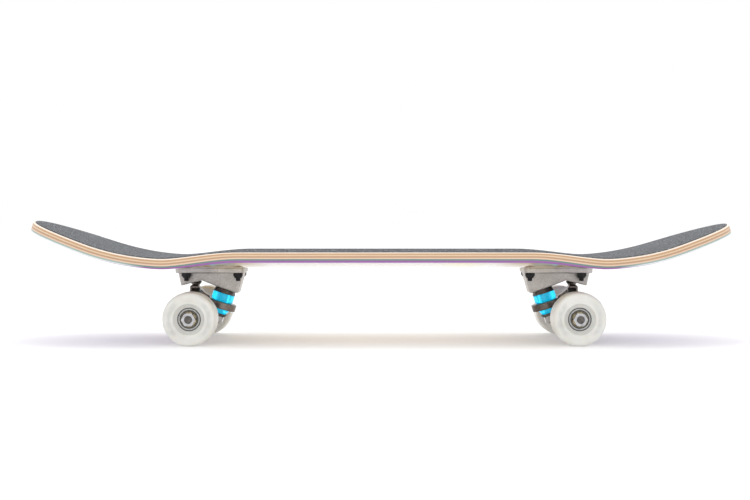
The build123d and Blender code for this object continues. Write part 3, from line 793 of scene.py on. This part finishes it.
def make_bushings():
    """Clear urethane bushings between the baseplate and the hanger."""
    for truck, sign in TRUCKS.items():
        for part, profile in BUSHINGS.items():
            name = truck + "_" + part
            place = stack_frame(sign)
            rows = finer(profile, 0.7)
            mesh = mesh_from(name + "_urethane", *lathe(rows, place, 72), 50)
            piece = add_object(name + "_urethane", mesh)
            piece.data.materials.append(MATERIALS["clear_urethane"])
            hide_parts(name)
            ends = (0, 13.8) if part == "top_bushing" else (28.0, 21.2)
            start, end = (place @ Vector((0, 0, height)) * MM for height in ends)
            tuple(start)
            tuple(end)
            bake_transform(piece)


def finer(profile, step):
    """A closed profile with its longer sides divided."""
    points = []
    for i, (radius, height) in enumerate(profile):
        after = profile[(i + 1) % len(profile)]
        length = math.hypot(after[0] - radius, after[1] - height)
        parts = max(1, round(length / step))
        for k in range(parts):
            share = k / parts
            points.append((radius + (after[0] - radius) * share, height + (after[1] - height) * share))
    return points


# ---- Wheels -------------------------------------------------------------------------------
def wheel_profile():
    """One half of the wheel's section as (radius, distance from the middle), core to tread."""
    half = WHEEL_WIDE / 2
    points = [(9.6, 0), (9.6, 5), (11.0, 5), (11.0, 11.7), (11.3, 12.0), (11.9, 12.15)]
    points += [(15.2, half - 1.1), (15.55, half - 0.45), (16.1, half - 0.08), (16.8, half)]
    points += [(18.0, half), (18.15, half - 0.12), (18.45, half - 0.12), (18.6, half), (22.0, half)]
    for i in range(1, 15):
        t = i / 14
        out = (1 - t) ** 2 * 22.6 + (2 * t * (1 - t) + t * t) * WHEEL_R
        across = ((1 - t) ** 2 + 2 * t * (1 - t)) * half + t * t * 9.2
        points.append((out, across))
    return points + [(WHEEL_R, 5), (WHEEL_R, 0)]


def wheel_marks(place):
    """Plain raised bars and dots in two arcs on the wheel's outer face."""
    face = WHEEL_WIDE / 2
    marks = []
    for centre in (90, 270):
        for i in range(-5, 6):
            angle = math.radians(centre + 9 * i)
            turn = Matrix.Rotation(angle, 4, "Z") @ Matrix.Translation(Vector((20.4, 0, 0)))
            wide = 0.5 if i % 2 else 1.0
            bar = [(-1.3, -wide), (1.3, -wide), (1.3, wide), (-1.3, wide)]
            if i % 3 == 0:
                bar = [(-1.3, -wide), (-0.3, -wide), (-0.3, wide), (-1.3, wide)]
            marks.append(prism(bar, face - 0.1, face + 0.16, place @ turn))
    return marks


def make_wheels():
    """Four cast wheels."""
    half = wheel_profile()
    profile = half + [(radius, -across) for radius, across in reversed(half[1:-1])]
    for truck, sign in TRUCKS.items():
        for side, way in SIDES.items():
            name = truck + "_" + side + "_wheel"
            place = wheel_place(sign, way)
            body = mesh_from(name + "_tyre", *joined([lathe(profile, place, 128)] + wheel_marks(place)))
            piece = add_object(name + "_tyre", body)
            finished(piece, name, MATERIALS["wheel_urethane"], [name])


def wheel_place(sign, way):
    """The matrix at a wheel's middle, with Z pointing out along the axle."""
    centre = Vector((TRUCK_SHIFT + sign * (TRUCK_HALF + AXLE.x), way * WHEEL_Y, PLATE_TOP + AXLE.z))
    return frame_at(centre, (0, way, 0))


# Painted shade in the bearing's gaps: each dark ring's radius, half its width, and its face's distance from
# the wheel's middle.
GAP_SHADE_RINGS = [(7.6, 0.35, 11.93), (8.75, 0.5, 12.04), (11.35, 0.4, 12.12)]


def make_gap_shade_rings():
    """Thin dark rings of painted shade in the gaps inside, between and around each outer bearing's shield
    and race.
    """
    for truck, sign in TRUCKS.items():
        for side, way in SIDES.items():
            place = wheel_place(sign, way)
            rings = []
            for radius, half, face in GAP_SHADE_RINGS:
                low = face - 0.18
                rings.append(lathe([
                    (radius - half - 0.06, low), (radius - half, face),
                    (radius + half, face), (radius + half + 0.06, low),
                ], place, 96))
            name = truck + "_" + side + "_gap_shade"
            piece = add_object(name, mesh_from(name, *joined(rings)))
            # The rubber's near-black on these rings is painted shade in the gaps.
            finished(piece, truck + "_" + side + "_wheel", MATERIALS["rubber"])


# ---- CAD nodes kept as they are -----------------------------------------------------------
def dress_nodes():
    """Every CAD node still shown gets its slot's material."""
    slots = {part["node"]: part["material_slot"] for part in frame["record"]["subparts"]}
    for name, node in NODES.items():
        if node.hide_render:
            continue
        node.data.materials.clear()
        node.data.materials.append(MATERIALS[slots[name]])


# ---- Stage --------------------------------------------------------------------------------
CAMERA_PLACE = Vector((-6.9, -1514.0, 123.2))
CAMERA_LENS = 68.64
CAMERA_PITCH = math.radians(1.08)


def make_camera():
    """A long lens, side on, a little above the deck."""
    data = bpy.data.cameras.new("camera")
    data.lens = CAMERA_LENS
    data.sensor_width = 36
    data.clip_start = 0.01
    data.clip_end = 100
    camera = bpy.data.objects.new("camera", data)
    bpy.context.scene.collection.objects.link(camera)
    camera.location = CAMERA_PLACE * MM
    camera.rotation_euler = (math.pi / 2 - CAMERA_PITCH, 0, 0)
    bpy.context.scene.camera = camera


def make_floor():
    """A plain white floor."""
    size = 12000
    verts = [(-size, -size, 0), (size, -size, 0), (size, size, 0), (-size, size, 0)]
    floor = add_object("floor", mesh_from("floor", verts, [(0, 1, 2, 3)]))
    white = Shader("floor_white", color=(0.76, 0.76, 0.76), rough=0.8, Specular_IOR_Level=0.1)
    white.set("Emission Color", (1, 1, 1, 1))
    white.set("Emission Strength", 0.24)
    floor.data.materials.append(white.mat)


def area_light(name, place, target, size, power, color=(1, 1, 1)):
    """A soft square light aimed at a point; sizes in millimetres, power in watts."""
    data = bpy.data.lights.new(name, "AREA")
    data.size = size * MM
    data.energy = power
    data.color = color
    light = bpy.data.objects.new(name, data)
    bpy.context.scene.collection.objects.link(light)
    light.location = Vector(place) * MM
    aim = (Vector(target) - Vector(place)).to_track_quat("-Z", "Y")
    light.rotation_euler = aim.to_euler()


def ceiling_light(strength, spread, lean):
    """Wide even light from above, leaning forward from behind the board."""
    data = bpy.data.lights.new("ceiling", "SUN")
    data.energy = strength
    data.angle = math.radians(spread)
    light = bpy.data.objects.new("ceiling", data)
    bpy.context.scene.collection.objects.link(light)
    light.rotation_euler = (math.radians(-lean), 0, 0)


def make_light():
    """A white room with an even ceiling, a light overhead and a faint one from the front."""
    scene = bpy.context.scene
    scene.view_settings.view_transform = "Standard"
    world = bpy.data.worlds.new("white_room")
    scene.world = world
    world.use_nodes = True
    world.node_tree.nodes["Background"].inputs["Color"].default_value = (1, 1, 1, 1)
    world.node_tree.nodes["Background"].inputs["Strength"].default_value = 1.0
    ceiling_light(0.6, 70, 35)
    area_light("overhead", (0, 60, 1500), (0, 0, 0), 700, 3)
    area_light("front", (-500, -1500, 1000), (0, 0, 60), 1000, 0.8)


make_camera()
make_deck()
make_grip()
make_screw_threads()
make_castings()
make_plate_marks()
make_bushings()
make_wheels()
make_gap_shade_rings()
dress_nodes()
make_floor()
make_light()
